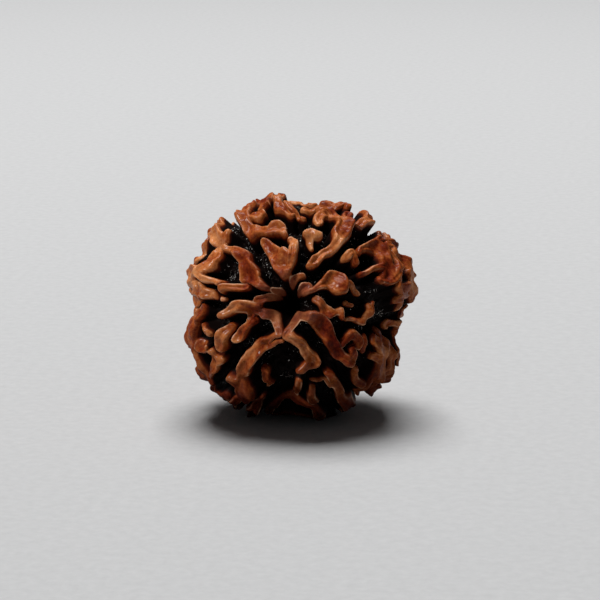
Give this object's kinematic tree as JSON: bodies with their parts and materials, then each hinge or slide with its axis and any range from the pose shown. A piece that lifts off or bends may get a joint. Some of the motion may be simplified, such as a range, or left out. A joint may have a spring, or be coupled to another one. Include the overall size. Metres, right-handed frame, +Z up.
{
  "type": "four mukhi rudraksha bead",
  "caption": "Round seed stone of a rudraksha fruit, deeply ridged, with furrows from mouth to tail and a natural channel through it.",
  "frame": {"origin": "on the surface that the bead rests on, under the middle of its bounding box", "axes": "+Z up, the mouth of the channel faces -Y and is tipped up by about 14 degrees, +X to the right of someone who faces the mouth"},
  "size_m": [0.0218, 0.0203, 0.0207],
  "materials": {
    "rudraksha_wood": "hard brown stone of the fruit, oiled and handled until its crests shine, nearly black in its furrows"
  },
  "bodies": {
    "root": {"rudraksha_bead": "rudraksha_wood"}
  },
  "joints": []
}
